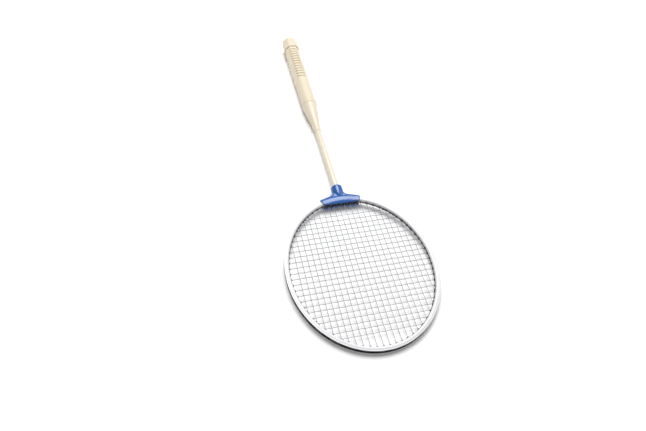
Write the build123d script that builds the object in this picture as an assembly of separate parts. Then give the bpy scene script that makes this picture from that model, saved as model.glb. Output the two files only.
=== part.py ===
"""Badminton racket: metal hoop, moulded throat piece, tube shaft, moulded handle and two strings.

Frame: millimetres, origin at the centre of the butt's end face, +Y along the racket to the head's
tip, +Z up out of the string bed, whose middle plane is z = 0.
"""

from build123d import *
import math
import os

# ---- overall ----
LENGTH = 660.0  # butt face to the outside of the head's tip
HEAD_HALF_WIDTH = 102.7  # inner wall of the hoop, half across
HEAD_HALF_LENGTH = 121.3  # inner wall of the hoop, half along

# ---- hoop section: r runs outwards from the inner wall ----
HOOP_RADIAL = 6.8
HOOP_CROWN_Z = 4.8
HOOP_CROWN_R = 2.9
HOOP_INNER_Z = 1.9
HOOP_LIP_Z = 4.1
HOOP_LIP_START_R = 5.4
HOOP_LIP_STEP_R = 0.2
HOOP_LIP_STEP_Z = 0.25
HOOP_LIP_EASE = 0.4
HOOP_SHOULDER_R = 0.64  # where the rounding from the inner wall to the crown passes
HOOP_SHOULDER_Z = 3.8
GROOVE_HALF_Z = 3.5
GROOVE_DEPTH = 2.4
HOOP_WALL = 0.95
HOOP_CAVITY_HALF_Z = 3.5
HOOP_CAVITY_ROUND = 0.7
HOOP_END_GAP = 0.5  # between the hoop's two ends, inside the throat piece
JOINER_INSET = 4.0  # the plug stops this far short of the arms' ends
CUT_PAST = 1.0  # cutting bodies run past what they cut

# ---- strings ----
STRING_R = 0.4
STRING_CLEAR = 0.05  # from a string of either set to z = 0, mains above and crosses below
MAIN_COUNT = 22
MAIN_PITCH = 8.6
CROSS_COUNT = 23
CROSS_PITCH = 8.9
CROSS_SHIFT = 2.65  # middle of the crosses, towards the tip from the head's centre
STRING_TURN_R = 1.0
STRING_TURN_SHARE = 0.45  # of the shorter run beside a turn, at most, goes into it
STRING_LEAST_TURN = 3.0  # degrees
STRING_TO_LIP = 0.3  # from a string in the groove to the hoop's outside
TAIL_LENGTH = 2.5  # from the last hole along the groove to the knot
TAIL_TUCK = 0.03
KNOT_R = 0.72
KNOT_LENGTH = 1.9
KNOT_EASE = 0.25
KNOT_LEVEL = 0.87

# ---- grommets ----
BARREL_WALL = 0.6
BORE_CLEAR = 0.3  # round a string in its barrel
BARREL_PROUD = 1.2  # stands this far out of the hoop's inner wall
MOUTH_CLEAR = 0.1  # from a barrel's end to the side of a string that bends there
STRIP_BASE = 0.8
STRIP_FIT = 0.06
STRIP_UNDER_LIP = 0.12  # its outside lies this far under the hoop's
STRIP_CHANNEL_HALF_Z = 1.75  # channel along its outside for the strings
STRIP_END_GAP = 0.6
TIP_STRIP_HALF_ANGLE = 48.0
BARREL_FIT = 0.08

# ---- throat piece ----
YOKE_WALL = 2.2
YOKE_FIT = 0.1
YOKE_CHORD_BACK = 5.9  # straight inner edge, this far inside the hoop's wall at the middle
YOKE_HALF_SPAN = 28.4
YOKE_END_FLARE = 4.2
YOKE_OUTER_RISE = 6.3
NECK_R = 9.2
NECK_LENGTH = 22.3  # from the hoop's outside to the neck's mouth
NECK_SHOULDER = 6.3
NECK_MOUTH_ROUND = 2.2
SHAFT_IN_YOKE = 16.0
NECK_FADE = 15.0  # over this length the neck narrows into the arms
NECK_FADE_R = 6.4
YOKE_INNER_SPARE = 3.0  # the swept section reaches this far past the straight edge
YOKE_BROW_SHARE = 0.26  # of a fall is reached at the section's mid points
YOKE_INNER_FALL = 4.2
YOKE_OUTER_FALL = 4.0
YOKE_END_RISE = 3.4
YOKE_WEB_INSET = 0.5
YOKE_WEB_HALF_Z = 5.5
YOKE_WEB_ROUND = 4.0
YOKE_WEB_FILLET = 7.0
COMB_SPINE = 0.85
COMB_SLOT_FIT = 0.2  # round a barrel
COMB_HALF_Z = 3.0
COMB_FIT = 0.08
COMB_PROUD = 0.3  # past the arms' straight edge
COMB_END_INSET = 0.8

# ---- shaft ----
SHAFT_R = 5.3
SHAFT_WALL = 0.9
SHAFT_IN_CORE = 130.0
SHAFT_FIT = 0.05

# ---- handle ----
GRIP_LENGTH = 187.0
RING_WIDTH = 2.0
RING_R = 13.65
RING_EASE = 0.5
CONE_LENGTH = 65.0
CONE_R = 13.3
CONE_MIDDLE_R = 9.85  # the control radius half way along
CONE_MOUTH_WALL = 0.45
CORE_R = 10.2
CORE_FIT = 0.05
CORE_SPIGOT = 14.0  # reaches this far past the ring into the cone
CORE_START = 6.0
PIN_R = 1.25
PIN_FIT = 0.02
PIN_FROM_RING = 97.0
GRIP_ROUND_R = 14.3
GRIP_FLAT_BUTT = 12.9  # half across the flats at the butt
GRIP_FLAT_RING = 13.5  # half across the flats at the ring, where the flats have run out
GRIP_END_R = 13.3
GRIP_WAIST_R = 14.1  # half way, where the corners begin to run out
NOTCH_COUNT = 12
NOTCH_PITCH = 7.4
NOTCH_FIRST = 36.5
NOTCH_WIDTH = 2.8
NOTCH_DEPTH = 1.4
NOTCH_HALF_SPAN = 8.6

# ---- butt cap ----
CAP_LENGTH = 28.0
CAP_FLAT = 14.7
CAP_TAPER = 0.7
CAP_FLOOR = 3.0
CAP_SPIGOT_R = 12.4
CAP_FIT = 0.05
CAP_EDGE = 1.2
BADGE_LONG = 10.0
BADGE_WIDE = 5.0
BADGE_THICK = 0.5
BADGE_FIT = 0.04

# ---- worked out ----
HEAD_Y = LENGTH - HOOP_RADIAL - HEAD_HALF_LENGTH
GROOVE_FLOOR = HOOP_RADIAL - GROOVE_DEPTH
STRING_LEVEL = STRING_R + STRING_CLEAR
BARREL_BORE_R = STRING_LEVEL + STRING_R + BORE_CLEAR
BARREL_R = BARREL_BORE_R + BARREL_WALL
MOUTH_EASE = STRING_R + MOUTH_CLEAR
COMB_SLOT_R = BARREL_R + COMB_SLOT_FIT
THROAT_INNER_Y = HEAD_Y - HEAD_HALF_LENGTH
THROAT_OUTER_Y = THROAT_INNER_Y - HOOP_RADIAL
NECK_Y = THROAT_OUTER_Y - NECK_LENGTH
YOKE_CHORD_Y = THROAT_INNER_Y + YOKE_CHORD_BACK
YOKE_HALF_Z = HOOP_CROWN_Z + YOKE_WALL
RING_Y = GRIP_LENGTH + RING_WIDTH
CONE_END_Y = RING_Y + CONE_LENGTH
SHAFT_START = RING_Y - SHAFT_IN_CORE
SHAFT_END = NECK_Y + SHAFT_IN_YOKE
STRING_LIE = HOOP_RADIAL - STRING_R - STRING_TO_LIP
PIN_Y = RING_Y - PIN_FROM_RING
CAP_SEAT = CAP_FLOOR + CAP_FIT
UP = Vector(0, 0, 1)


def outward(point, out=0.0):
    """Unit normal, in the string plane, of the ellipse through point."""
    x = point.X / (HEAD_HALF_WIDTH + out) ** 2
    y = (point.Y - HEAD_Y) / (HEAD_HALF_LENGTH + out) ** 2
    return Vector(x, y, 0).normalized()


def along_hoop(profile, start, end):
    """Carry a profile, drawn as (r, z), round the inner wall's ellipse between two angles."""
    path = EllipticalCenterArc(
        (0, HEAD_Y), HEAD_HALF_WIDTH, HEAD_HALF_LENGTH, start_angle=start, arc_size=end - start
    )
    at = path @ 0
    plane = Plane(origin=at, x_dir=outward(at), z_dir=path % 0)
    if plane.y_dir.Z < 0:
        profile = mirror(profile, about=Plane.XZ)
    return sweep(plane * profile, path=path)


def rod(start, direction, length, radius):
    """Solid cylinder from a point along a direction."""
    return extrude(Plane(origin=start, z_dir=direction) * Circle(radius), amount=length)


def turned(points):
    """Solid of revolution about Y from (radius, y) points."""
    return revolve(make_face(Polyline(*points, close=True)), axis=Axis.Y)


def tube(outer, inner, y0, y1):
    """Round tube about Y."""
    disc = Plane(origin=(0, y0, 0), z_dir=(0, 1, 0)) * (Circle(outer) - Circle(inner))
    return extrude(disc, amount=y1 - y0)


def octagon_bar(flat0, flat1, y0, y1):
    """Eight-sided bar about Y with flats up and down; flat is half across the flats."""
    ends = [
        Plane(origin=(0, y, 0), z_dir=(0, 1, 0))
        * RegularPolygon(flat, side_count=8, major_radius=False, rotation=22.5)
        for flat, y in ((flat0, y0), (flat1, y1))
    ]
    return loft(ends, ruled=True)


# ---- string stations ----
MOUTH = -BARREL_PROUD - MOUTH_EASE  # where a string bends into its barrel, from the inner wall


def main_x(k):
    return (k - (MAIN_COUNT - 1) / 2) * MAIN_PITCH


def cross_y(k):
    return HEAD_Y + CROSS_SHIFT + (k - (CROSS_COUNT - 1) / 2) * CROSS_PITCH


def main_mouth(k, side):
    """Where main k meets its barrel at the tip (side = 1) or the throat (side = -1)."""
    x = main_x(k)
    reach = math.sqrt(1 - (x / (HEAD_HALF_WIDTH + MOUTH)) ** 2)
    return Vector(x, HEAD_Y + side * (HEAD_HALF_LENGTH + MOUTH) * reach, 0)


def cross_mouth(k, side):
    """Where cross k meets its barrel on the +X (side = 1) or -X (side = -1) side."""
    y = cross_y(k)
    reach = math.sqrt(1 - ((y - HEAD_Y) / (HEAD_HALF_LENGTH + MOUTH)) ** 2)
    return Vector(side * (HEAD_HALF_WIDTH + MOUTH) * reach, y, 0)


MOUTHS = [main_mouth(k, s) for k in range(MAIN_COUNT) for s in (-1, 1)]
MOUTHS += [cross_mouth(k, s) for k in range(CROSS_COUNT) for s in (-1, 1)]


def station_angle(mouth):
    """Ellipse angle of a station, from 0 to 360 degrees."""
    x = mouth.X / (HEAD_HALF_WIDTH + MOUTH)
    y = (mouth.Y - HEAD_Y) / (HEAD_HALF_LENGTH + MOUTH)
    return math.degrees(math.atan2(y, x)) % 360


def barrel(mouth, radius, from_wall, to_wall):
    """Cylinder on a station's axis between two distances from the inner wall."""
    n = outward(mouth, MOUTH)
    return rod(mouth + n * (from_wall - MOUTH), n, to_wall - from_wall, radius)


def barrel_hole(mouth):
    """Drill for one barrel, right through the hoop."""
    return barrel(mouth, BARREL_R + BARREL_FIT, -CUT_PAST, GROOVE_FLOOR + CUT_PAST)


def throat_mouths():
    """Stations inside the throat piece."""
    return [m for m in MOUTHS if m.Y < HEAD_Y and abs(m.X) < YOKE_HALF_SPAN]


def widest_gap(target):
    """Middle of the widest gap between stations within 6 degrees of a target angle."""
    angles = sorted(station_angle(m) for m in MOUTHS)
    pairs = [(a, b) for a, b in zip(angles, angles[1:]) if abs((a + b) / 2 - target) < 6]
    a, b = max(pairs, key=lambda pair: pair[1] - pair[0])
    return (a + b) / 2


# ---- hoop ----
def hoop_profile():
    """Rounded inside and crown, a shallow step to each lip, and a groove in the outside."""
    half = [
        (HOOP_LIP_START_R - HOOP_LIP_STEP_R, HOOP_LIP_Z + HOOP_LIP_STEP_Z),
        (HOOP_LIP_START_R, HOOP_LIP_Z),
        (HOOP_RADIAL - HOOP_LIP_EASE, HOOP_LIP_Z),
        (HOOP_RADIAL, HOOP_LIP_Z - HOOP_LIP_EASE),
        (HOOP_RADIAL, GROOVE_HALF_Z),
        (GROOVE_FLOOR, GROOVE_HALF_Z),
    ]
    top = [Vector(r, z) for r, z in half]
    low = [Vector(r, -z) for r, z in reversed(half)]
    crown = Vector(HOOP_CROWN_R, HOOP_CROWN_Z)
    crown_low = Vector(HOOP_CROWN_R, -HOOP_CROWN_Z)
    edges = [
        Line((0, -HOOP_INNER_Z), (0, HOOP_INNER_Z)),
        ThreePointArc((0, HOOP_INNER_Z), (HOOP_SHOULDER_R, HOOP_SHOULDER_Z), crown),
        TangentArc(crown, top[0], tangent=(1, 0)),
        Polyline(*top, *low),
        TangentArc(crown_low, low[-1], tangent=(1, 0)),
        ThreePointArc(crown_low, (HOOP_SHOULDER_R, -HOOP_SHOULDER_Z), (0, -HOOP_INNER_Z)),
    ]
    return make_face(edges)


def cavity_profile(gap=0.0):
    """Inside of the tube, between the inner wall and the groove's floor, less a gap all round."""
    wide = GROOVE_FLOOR - 2 * HOOP_WALL - 2 * gap
    tall = 2 * (HOOP_CAVITY_HALF_Z - gap)
    return Pos(GROOVE_FLOOR / 2, 0) * RectangleRounded(wide, tall, HOOP_CAVITY_ROUND)


def throat_half_angle(length):
    """Ellipse angle that a length along the hoop takes at the throat's middle."""
    return math.degrees(length / HEAD_HALF_WIDTH)


def build_hoop():
    gap = throat_half_angle(HOOP_END_GAP / 2)
    start, end = -90 + gap, 270 - gap
    hoop = along_hoop(hoop_profile(), start, end) - along_hoop(cavity_profile(), start, end)
    return hoop - [barrel_hole(m) for m in MOUTHS]


def build_joiner():
    """Plug inside the hoop's two ends, drilled with them."""
    reach = throat_half_angle(YOKE_HALF_SPAN - JOINER_INSET)
    plug = along_hoop(cavity_profile(STRIP_FIT), -90 - reach, -90 + reach)
    return plug - [barrel_hole(m) for m in throat_mouths()]


def build_strip(start, end):
    """Grommet strip in the groove between two angles: a channelled band with bored barrels."""
    low, top = GROOVE_FLOOR + STRIP_FIT, HOOP_RADIAL - STRIP_UNDER_LIP
    floor = low + STRIP_BASE
    tall = 2 * (GROOVE_HALF_Z - STRIP_FIT)
    ease = throat_half_angle(STRIP_END_GAP / 2)
    band = Pos((low + top) / 2, 0) * Rectangle(top - low, tall)
    channel = Pos((floor + HOOP_RADIAL) / 2, 0)
    channel = channel * Rectangle(HOOP_RADIAL - floor, 2 * STRIP_CHANNEL_HALF_Z)
    strip = along_hoop(band - channel, start + ease, end - ease)
    mine = [m for m in MOUTHS if start < station_angle(m) < end]
    mine += [m for m in MOUTHS if start < station_angle(m) - 360 < end]
    barrels = [barrel(m, BARREL_R, -BARREL_PROUD, low + STRIP_BASE / 2) for m in mine]
    bores = [barrel(m, BARREL_BORE_R, -BARREL_PROUD - CUT_PAST, floor + CUT_PAST) for m in mine]
    return strip + barrels - bores


# ---- throat piece ----
def ellipse_disc(out, half_z):
    """Plate of the ellipse at a distance out of the inner wall."""
    disc = Pos(0, HEAD_Y) * Ellipse(HEAD_HALF_WIDTH + out, HEAD_HALF_LENGTH + out)
    return extrude(disc, amount=half_z, both=True)


def arm_profile():
    """Section of the arms: a crest over the hoop that falls to the inner edge and rounds outside."""
    crest = (HOOP_CROWN_R, YOKE_HALF_Z)
    inner = (-YOKE_CHORD_BACK - YOKE_INNER_SPARE, YOKE_HALF_Z - YOKE_INNER_FALL)
    brow = ((inner[0] + crest[0]) / 2, YOKE_HALF_Z - YOKE_BROW_SHARE * YOKE_INNER_FALL)
    outer = (HOOP_RADIAL + YOKE_WALL, YOKE_HALF_Z - YOKE_OUTER_FALL)
    side_r = outer[0] - YOKE_BROW_SHARE * (outer[0] - crest[0])
    side = (side_r, YOKE_HALF_Z - YOKE_BROW_SHARE * YOKE_OUTER_FALL)
    down = [(r, -z) for r, z in (inner, brow, crest, side, outer)]
    edges = [
        ThreePointArc(inner, brow, crest),
        ThreePointArc(crest, side, outer),
        Line(outer, down[4]),
        ThreePointArc(down[4], down[3], down[2]),
        ThreePointArc(down[2], down[1], down[0]),
        Line(down[0], inner),
    ]
    return make_face(edges)


def build_yoke():
    """Two arms that wrap the hoop, a web behind them and a round neck that takes the shaft."""
    end_x = YOKE_HALF_SPAN + YOKE_END_FLARE
    end_y = THROAT_OUTER_Y - YOKE_WALL + YOKE_END_RISE
    reach = throat_half_angle(end_x + YOKE_WALL)
    ends = [(YOKE_HALF_SPAN, YOKE_CHORD_Y), (end_x, end_y), (end_x, NECK_Y)]
    outline = make_face(Polyline(*ends, *[(-x, y) for x, y in reversed(ends)], close=True))
    arms = along_hoop(arm_profile(), -90 - reach, -90 + reach)
    arms = arms & extrude(outline, amount=2 * YOKE_HALF_Z, both=True)
    web_x, web_y = NECK_R - YOKE_WEB_INSET, THROAT_OUTER_Y - YOKE_OUTER_RISE
    half = [
        (end_x - 2 * YOKE_WEB_INSET, THROAT_INNER_Y),
        (end_x - 2 * YOKE_WEB_INSET, end_y - YOKE_WEB_INSET),
        (web_x, web_y),
        (web_x, NECK_Y + NECK_SHOULDER - YOKE_WEB_INSET),
    ]
    plan = make_face(Polyline(*half, *[(-x, y) for x, y in reversed(half)], close=True))
    plan = fillet([v for v in plan.vertices() if abs(v.Y - web_y) < 0.01], YOKE_WEB_FILLET)
    web = extrude(plan, amount=YOKE_WEB_HALF_Z, both=True)
    rims = [e for e in web.edges() if abs(abs(e.center().Z) - YOKE_WEB_HALF_Z) < 0.01]
    web = fillet([e for e in rims if e.center().Y < THROAT_INNER_Y - 0.1], YOKE_WEB_ROUND)
    shoulder_y = NECK_Y + NECK_SHOULDER
    edges = [
        Line((0, NECK_Y), (NECK_R - NECK_MOUTH_ROUND, NECK_Y)),
        TangentArc(
            (NECK_R - NECK_MOUTH_ROUND, NECK_Y), (NECK_R, NECK_Y + NECK_MOUTH_ROUND), tangent=(1, 0)
        ),
        Line((NECK_R, NECK_Y + NECK_MOUTH_ROUND), (NECK_R, shoulder_y)),
        TangentArc((NECK_R, shoulder_y), (NECK_FADE_R, shoulder_y + NECK_FADE), tangent=(0, 1)),
        Line((NECK_FADE_R, shoulder_y + NECK_FADE), (0, shoulder_y + NECK_FADE)),
        Line((0, shoulder_y + NECK_FADE), (0, NECK_Y)),
    ]
    neck = revolve(make_face(edges), axis=Axis.Y)
    channel = ellipse_disc(HOOP_RADIAL + YOKE_FIT, HOOP_CROWN_Z + YOKE_FIT / 2)
    channel -= ellipse_disc(-YOKE_FIT / 2, 2 * YOKE_HALF_Z)
    channel += ellipse_disc(YOKE_FIT, COMB_HALF_Z + COMB_FIT)
    bore = rod((0, NECK_Y, 0), (0, 1, 0), SHAFT_IN_YOKE, SHAFT_R + SHAFT_FIT)
    return arms + web + neck - channel - bore


def build_comb():
    """Black comb between the hoop's inner wall and the yoke's straight edge, slotted for strings."""
    depth = YOKE_CHORD_BACK + HOOP_RADIAL
    bar = Rectangle(2 * (YOKE_HALF_SPAN - COMB_END_INSET), depth)
    bar = Pos(0, YOKE_CHORD_Y + COMB_PROUD - depth / 2) * bar
    bar = extrude(bar, amount=COMB_HALF_Z, both=True)
    outer = ellipse_disc(-YOKE_FIT, 2 * COMB_HALF_Z)
    inner = ellipse_disc(-YOKE_FIT - COMB_SPINE, 2 * COMB_HALF_Z)
    holes = [barrel(m, COMB_SLOT_R, -HOOP_RADIAL, HOOP_RADIAL) for m in throat_mouths()]
    slots = []
    for m in throat_mouths():
        slot = Pos(m.X, m.Y) * Rectangle(2 * COMB_SLOT_R, 4 * depth)
        slots.append(extrude(slot, amount=2 * COMB_HALF_Z, both=True) & inner)
    return (bar & outer) - holes - slots


# ---- strings ----
def exit_point(mouth):
    """Where a string turns into the groove, on its barrel's axis."""
    return mouth + outward(mouth, MOUTH) * (STRING_LIE - MOUTH)


def tail_point(mouth, neighbour):
    """End of a string, along the groove away from the neighbouring hole of the same string."""
    n = outward(mouth, MOUTH)
    along = n.cross(UP)
    if along.dot(neighbour - mouth) > 0:
        along = -along
    return exit_point(mouth) + along * TAIL_LENGTH - n * TAIL_TUCK


def string_points(count, mouth_of, first):
    """From one tail along every run in turn, back through the next hole each time, to the other."""
    points, side = [tail_point(mouth_of(0, first), mouth_of(1, first))], first
    for k in range(count):
        a, b = mouth_of(k, side), mouth_of(k, -side)
        points += [exit_point(a), a, b, exit_point(b)]
        side = -side
    last = mouth_of(count - 1, side)
    return points + [tail_point(last, mouth_of(count - 2, side))]


def string_solid(points, level):
    """One round string through the points; the slightest turns are left out."""
    lift = Vector(0, 0, level)
    kept, radii = [points[0]], []
    for here, after in zip(points[1:], points[2:]):
        turn = math.radians((here - kept[-1]).get_angle(after - here))
        if turn < math.radians(STRING_LEAST_TURN):
            continue
        reach = STRING_TURN_SHARE * min((here - kept[-1]).length, (after - here).length)
        radii.append(min(STRING_TURN_R, reach / math.tan(turn / 2)))
        kept.append(here)
    kept = [p + lift for p in kept + [points[-1]]]
    path = FilletPolyline(*kept, radius=radii)
    section = Plane(origin=path @ 0, z_dir=path % 0) * Circle(STRING_R)
    print("string: run", round(path.length), "mm, smallest turn", round(min(radii), 2), "mm")
    return sweep(section, path=path)


def build_knots(ends):
    """Small lump on each string's end, face to face with it and lying in the groove."""
    knots = []
    for point, before, level in ends:
        away = (point - before).normalized()
        foot = Vector(point.X, point.Y, level)
        waist = rod(foot + away * KNOT_EASE, away, KNOT_LENGTH - 2 * KNOT_EASE, KNOT_R)
        knots.append((rod(foot, away, KNOT_LENGTH, KNOT_R - KNOT_EASE) + waist).solid())
    return Compound(children=knots)


# ---- handle ----
def build_shaft():
    return tube(SHAFT_R, SHAFT_R - SHAFT_WALL, SHAFT_START, SHAFT_END) - pin_hole()


def pin_hole(grow=0.0):
    half = CORE_R - CORE_FIT
    return rod((-half, PIN_Y, 0), (1, 0, 0), 2 * half, PIN_R + grow)


def build_cone():
    """Straight-sided near the ring, easing into the shaft; bored, with a seat for the core."""
    mouth_r = SHAFT_R + SHAFT_FIT + CONE_MOUTH_WALL
    side = Bezier(
        (CONE_R, RING_Y),
        (CONE_MIDDLE_R, RING_Y + 0.5 * CONE_LENGTH),
        (mouth_r, RING_Y + 0.75 * CONE_LENGTH),
        (mouth_r, CONE_END_Y),
    )
    rest = Polyline((mouth_r, CONE_END_Y), (0, CONE_END_Y), (0, RING_Y), (CONE_R, RING_Y))
    body = revolve(make_face([side, rest]), axis=Axis.Y)
    seat_y = RING_Y - CUT_PAST
    seat = rod((0, seat_y, 0), (0, 1, 0), CORE_SPIGOT + CUT_PAST + CORE_FIT, CORE_R + CORE_FIT)
    bore = rod((0, RING_Y, 0), (0, 1, 0), CONE_LENGTH + CUT_PAST, SHAFT_R + SHAFT_FIT)
    return body - seat - bore


def build_ring():
    """Collar with both outer edges eased."""
    inner = CORE_R + CORE_FIT
    section = [
        (inner, GRIP_LENGTH),
        (RING_R - RING_EASE, GRIP_LENGTH),
        (RING_R, GRIP_LENGTH + RING_EASE),
        (RING_R, RING_Y - RING_EASE),
        (RING_R - RING_EASE, RING_Y),
        (inner, RING_Y),
    ]
    return turned(section)


def build_core():
    core = rod((0, CORE_START, 0), (0, 1, 0), RING_Y + CORE_SPIGOT - CORE_START, CORE_R)
    bore = rod((0, SHAFT_START, 0), (0, 1, 0), LENGTH, SHAFT_R + SHAFT_FIT)
    return core - bore - pin_hole()


def build_grip():
    """Eight-sided at the butt and round at the ring, with cross grooves on both broad faces."""
    start = CAP_LENGTH
    outside = [
        (0, start),
        (GRIP_ROUND_R, start),
        (GRIP_WAIST_R, 0.55 * GRIP_LENGTH),
        (GRIP_END_R, 0.8 * GRIP_LENGTH),
        (GRIP_END_R, GRIP_LENGTH),
        (0, GRIP_LENGTH),
    ]
    body = turned(outside) & octagon_bar(GRIP_FLAT_BUTT, GRIP_FLAT_RING, start, GRIP_LENGTH)
    keep = octagon_bar(
        GRIP_FLAT_BUTT - NOTCH_DEPTH, GRIP_FLAT_RING - NOTCH_DEPTH, start, GRIP_LENGTH
    )
    cuts = []
    for k in range(NOTCH_COUNT):
        at = (0, NOTCH_FIRST + k * NOTCH_PITCH, 0)
        cuts.append(Pos(*at) * Box(2 * NOTCH_HALF_SPAN, NOTCH_WIDTH, 4 * GRIP_ROUND_R) - keep)
    spigot = rod((0, CAP_SEAT, 0), (0, 1, 0), start - CAP_SEAT + CUT_PAST, CAP_SPIGOT_R)
    bore = rod((0, 0, 0), (0, 1, 0), LENGTH, CORE_R + CORE_FIT)
    return body - cuts + spigot - bore


def badge_plane(angle):
    """Plane on a cap facet at an angle round Y, with its normal outwards."""
    a = math.radians(angle)
    n = Vector(math.cos(a), 0, math.sin(a))
    middle = 0.5 * CAP_LENGTH
    flat = CAP_FLAT - CAP_TAPER * (1 - middle / CAP_LENGTH)
    tilt = Vector(0, -CAP_TAPER / CAP_LENGTH, 0)
    return Plane(origin=n * flat + Vector(0, middle, 0), x_dir=(0, 1, 0), z_dir=(n + tilt))


BADGE_ANGLES = [0, 45, 135, 180, 225, 315]


def build_cap():
    """Eight-sided cup, widest where it meets the grip, with shallow seats for the badges."""
    body = octagon_bar(CAP_FLAT - CAP_TAPER, CAP_FLAT, 0, CAP_LENGTH)
    body = fillet(body.edges(), radius=CAP_EDGE)
    bore = rod((0, CAP_FLOOR, 0), (0, 1, 0), CAP_LENGTH, CAP_SPIGOT_R + CAP_FIT)
    for angle in BADGE_ANGLES:
        seat = badge_plane(angle) * Rectangle(BADGE_LONG + 2 * BADGE_FIT, BADGE_WIDE + 2 * BADGE_FIT)
        body -= extrude(seat, amount=BADGE_THICK, both=True)
    return body - bore


def build_badges():
    plates = []
    for angle in BADGE_ANGLES:
        plate = badge_plane(angle) * Rectangle(BADGE_LONG, BADGE_WIDE)
        plates.append(extrude(plate, amount=-(BADGE_THICK - BADGE_FIT)).solid())
    return Compound(children=plates)


# ---- write every piece ----
def build_all():
    yoke_edge = 270 - widest_gap(270 - throat_half_angle(YOKE_HALF_SPAN - 2))
    tip = 90 - widest_gap(90 - TIP_STRIP_HALF_ANGLE)
    mains = string_points(MAIN_COUNT, main_mouth, 1)
    crosses = string_points(CROSS_COUNT, cross_mouth, 1)
    tips = [(mains, 0, 1, KNOT_LEVEL), (mains, -1, -2, KNOT_LEVEL)]
    tips += [(crosses, 0, 1, -KNOT_LEVEL), (crosses, -1, -2, -KNOT_LEVEL)]
    ends = [(run[end], run[before], level) for run, end, before, level in tips]
    return {
        "head_frame": build_hoop(),
        "frame_joiner": build_joiner(),
        "grommet_strip_tip": build_strip(90 - tip, 90 + tip),
        "grommet_strip_right": build_strip(-90 + yoke_edge, 90 - tip),
        "grommet_strip_left": build_strip(90 + tip, 270 - yoke_edge),
        "grommet_strip_throat": build_strip(270 - yoke_edge, 270 + yoke_edge),
        "throat_yoke": build_yoke(),
        "throat_insert": build_comb(),
        "main_string": string_solid(mains, STRING_LEVEL),
        "cross_string": string_solid(crosses, -STRING_LEVEL),
        "string_knots": build_knots(ends),
        "shaft": build_shaft(),
        "handle_cone": build_cone(),
        "handle_ring": build_ring(),
        "grip_sleeve": build_grip(),
        "handle_core": build_core(),
        "core_pin": pin_hole(-PIN_FIT),
        "butt_cap": build_cap(),
        "butt_badges": build_badges(),
    }


os.makedirs("parts", exist_ok=True)
for node, shape in build_all().items():
    export_step(shape, f"parts/{node}.step")
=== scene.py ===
"""Badminton racket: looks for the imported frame, laid out as a Blender add-on and run as a script.

The frame's axes: origin at the butt, +Y along the racket to the head's tip, +Z up out of the
strings. Sizes are millimetres in the property groups and metres in the meshes.
"""

import bmesh
import bpy
import numpy as np
from mathutils import Matrix, Vector


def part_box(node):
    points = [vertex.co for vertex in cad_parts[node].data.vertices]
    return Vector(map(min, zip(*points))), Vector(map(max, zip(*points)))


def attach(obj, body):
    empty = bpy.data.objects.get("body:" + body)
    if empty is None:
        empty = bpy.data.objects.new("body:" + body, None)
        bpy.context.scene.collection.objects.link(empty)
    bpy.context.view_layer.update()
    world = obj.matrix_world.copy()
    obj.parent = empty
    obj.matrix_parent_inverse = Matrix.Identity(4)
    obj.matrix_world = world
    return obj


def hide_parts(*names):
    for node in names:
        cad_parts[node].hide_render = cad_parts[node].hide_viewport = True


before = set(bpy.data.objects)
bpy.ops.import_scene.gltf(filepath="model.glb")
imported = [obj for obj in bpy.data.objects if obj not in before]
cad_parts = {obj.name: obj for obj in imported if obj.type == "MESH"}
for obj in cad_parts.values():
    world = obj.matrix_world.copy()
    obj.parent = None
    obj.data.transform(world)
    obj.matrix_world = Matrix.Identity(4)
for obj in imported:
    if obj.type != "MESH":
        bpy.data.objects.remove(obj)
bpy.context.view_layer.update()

bl_info = {
    "name": "Badminton racket",
    "version": (1, 0, 0),
    "blender": (4, 5, 0),
    "location": "View3D > Sidebar > Racket",
    "description": "Makes the racket's visible pieces round its packed frame",
    "category": "Add Mesh",
}

MM = 0.001


def span(node):
    """A frame node's lowest and highest corners, in millimetres."""
    low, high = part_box(node)
    return np.array(low) / MM, np.array(high) / MM


GRIP_HIGH = span("grip_sleeve")[1]
CAP_LOW, CAP_HIGH = span("butt_cap")
RING_LOW, RING_HIGH = span("handle_ring")
CONE_LOW, CONE_HIGH = span("handle_cone")
SHAFT_LOW, SHAFT_HIGH = span("shaft")
HEAD_LOW, HEAD_HIGH = span("head_frame")

# Sides of the round meshes, and points along one run of a string.
GRIP_SIDES = 168
CAP_SIDES = 160
TURNED_SIDES = 128
SHAFT_SIDES = 96
STRING_SIDES = 8
KNOT_POINTS = 72
RUN_POINTS = 150
SHADE_RAIL_POINTS = 361
UP = np.array([0, 0, 1.0])

# Shares and easings, in millimetres where they are lengths.
BEND_SHARE = 0.45  # of a straight, at most, that a string's turn takes
FADE_SHARE = 0.9  # of a pitch, over which the weave fades at a run's ends
KNOT_FLATNESS = 0.7
SHADE_RAIL_EASE = 0.3  # of the rail's thickness
SHADE_RAIL_FLAT = 0.8  # of the rail's height
CORNER_POWER = 90.0  # tightness of an octagon's corners
ROUND_FROM = 0.35  # share of the grip where its corners begin to run out
ROUND_OVER = 0.45
GROOVE_STEP = 0.24  # between the grip's rings where it is grooved
GROOVE_MARGIN = 4.0  # fine rings reach this far past the first and last groove
GROOVE_EASE = 0.5
SPAN_EASE = 0.6
BUTT_EDGE = 0.6  # length of the grip's eased edge at the butt
RING_EDGE = 0.5  # and at the ring
BORE_INSET = 4.0  # from the grip's ends to the rings that hold its bore straight

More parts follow.
